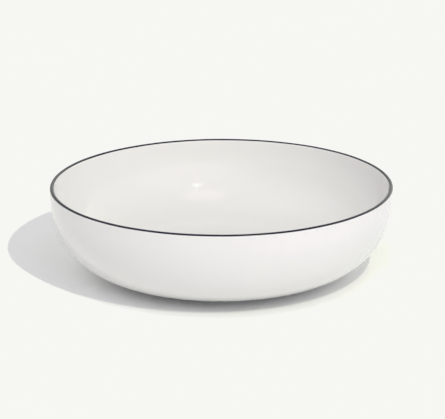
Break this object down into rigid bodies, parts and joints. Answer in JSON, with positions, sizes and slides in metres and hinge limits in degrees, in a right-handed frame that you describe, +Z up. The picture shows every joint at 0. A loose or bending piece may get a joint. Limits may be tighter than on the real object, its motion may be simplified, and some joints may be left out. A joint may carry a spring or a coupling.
{
  "type": "serving bowl",
  "caption": "Wide, low round porcelain serving bowl with a turned foot ring, gloss white glaze inside and out, and a thin dark band over the lip.",
  "frame": {"origin": "centre of the foot ring's resting face, on the surface that the bowl stands on", "axes": "+Z up along the bowl's axis of revolution, towards the rim; X and Y are any two directions in the table's plane, because the bowl is round"},
  "size_m": [0.292, 0.292, 0.078],
  "materials": {
    "bisque": "matt, unglazed, lightly polished",
    "glaze": "gloss, slightly warm white",
    "band": "gloss, blue-black"
  },
  "bodies": {
    "root": {"porcelain_body": "bisque", "inner_glaze": "glaze", "outer_glaze": "glaze", "well_glaze": "glaze", "rim_band": "band"}
  },
  "joints": []
}
